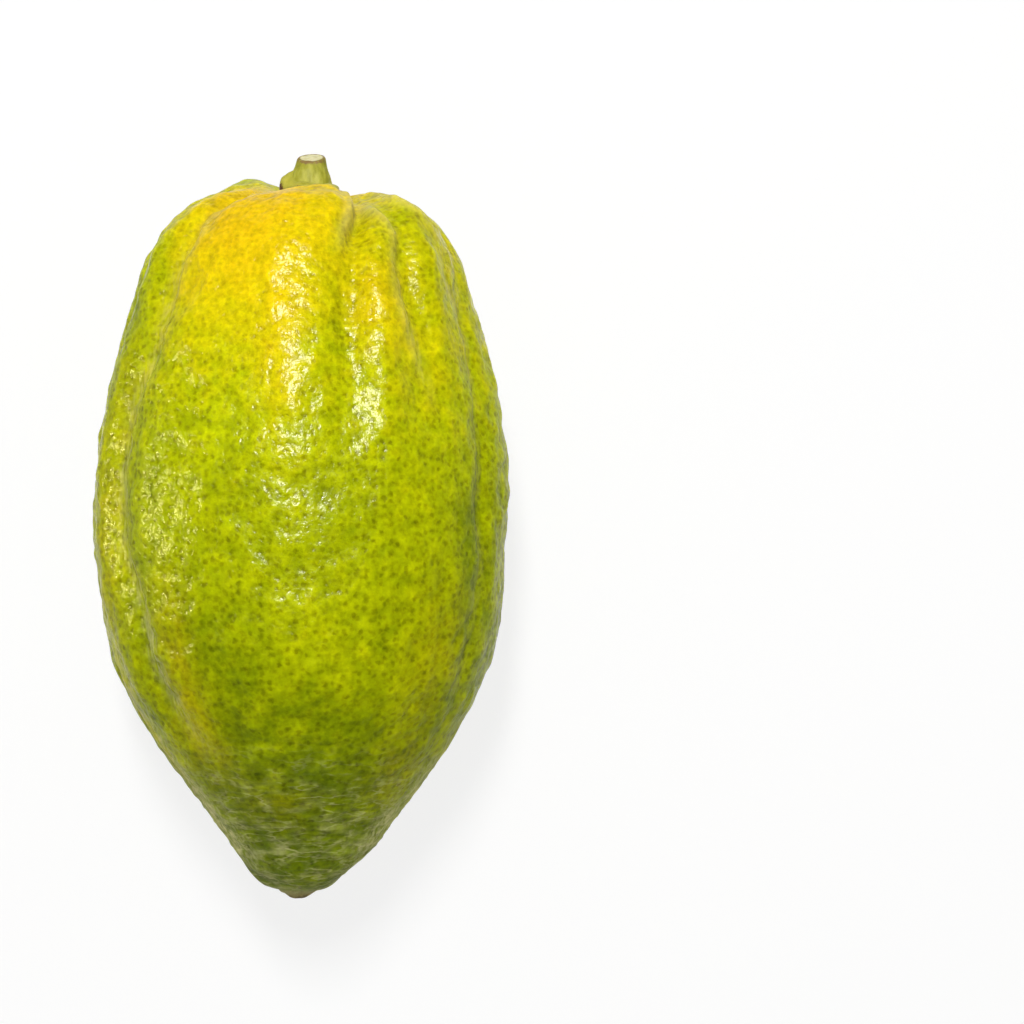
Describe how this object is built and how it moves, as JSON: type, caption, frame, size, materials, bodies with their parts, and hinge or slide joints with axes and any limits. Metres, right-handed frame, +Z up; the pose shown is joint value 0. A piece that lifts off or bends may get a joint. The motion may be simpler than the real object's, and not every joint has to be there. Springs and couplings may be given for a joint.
{
  "type": "etrog",
  "caption": "Whole etrog fruit lying on its side: a long ribbed citron that tapers to a blunt tip, with a green calyx, a short cut stem and a dried style stub.",
  "frame": {"origin": "middle of the object in X and Y, on the surface that the fruit rests on", "axes": "+Y along the fruit towards its stem, +Z up through the side that faces up, +X to the right with the stem pointing away"},
  "size_m": [0.0852, 0.1536, 0.0776],
  "materials": {
    "rind": "waxy pitted citrus rind, yellow at the crown and green towards the tip",
    "calyx": "matt green, brown at the lobes' edges",
    "stem": "green bark with brown flecks and a pale cut face",
    "dried_style": "dry and matt, grey-brown"
  },
  "bodies": {
    "root": {"fruit": "rind", "calyx": "calyx", "stem": "stem", "style_stub": "dried_style"}
  },
  "joints": []
}
